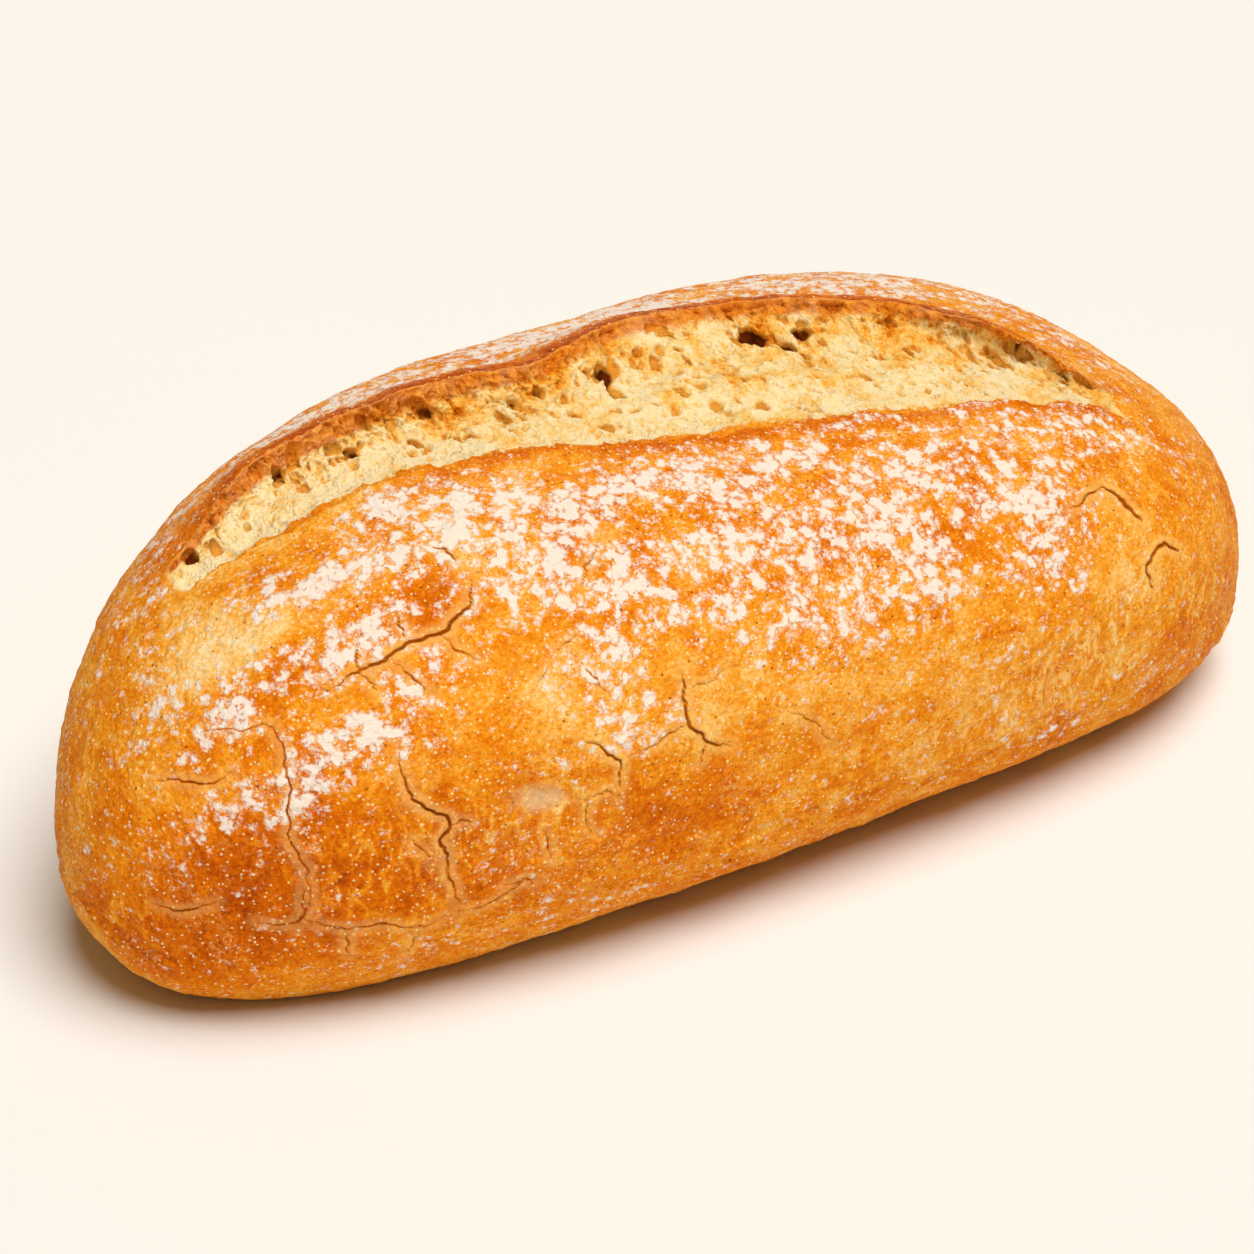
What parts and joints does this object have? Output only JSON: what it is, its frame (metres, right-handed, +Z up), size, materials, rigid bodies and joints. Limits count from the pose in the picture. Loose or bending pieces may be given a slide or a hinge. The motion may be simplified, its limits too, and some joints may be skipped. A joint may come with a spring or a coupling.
{
  "type": "short baguette loaf",
  "caption": "Short, stout baguette loaf with a diagonal slash along its crown, open crumb and a lifted crust edge, on a flat base.",
  "frame": {"origin": "bottom centre of the loaf's bounding box, on the flat base it rests on", "axes": "+X along the loaf towards its wider end, +Z up through the crown, -Y towards the crust flank below the slash's thin front edge"},
  "size_m": [0.27, 0.1396, 0.0923],
  "materials": {
    "crust": "satin"
  },
  "bodies": {
    "root": {"loaf": "crust"}
  },
  "joints": []
}
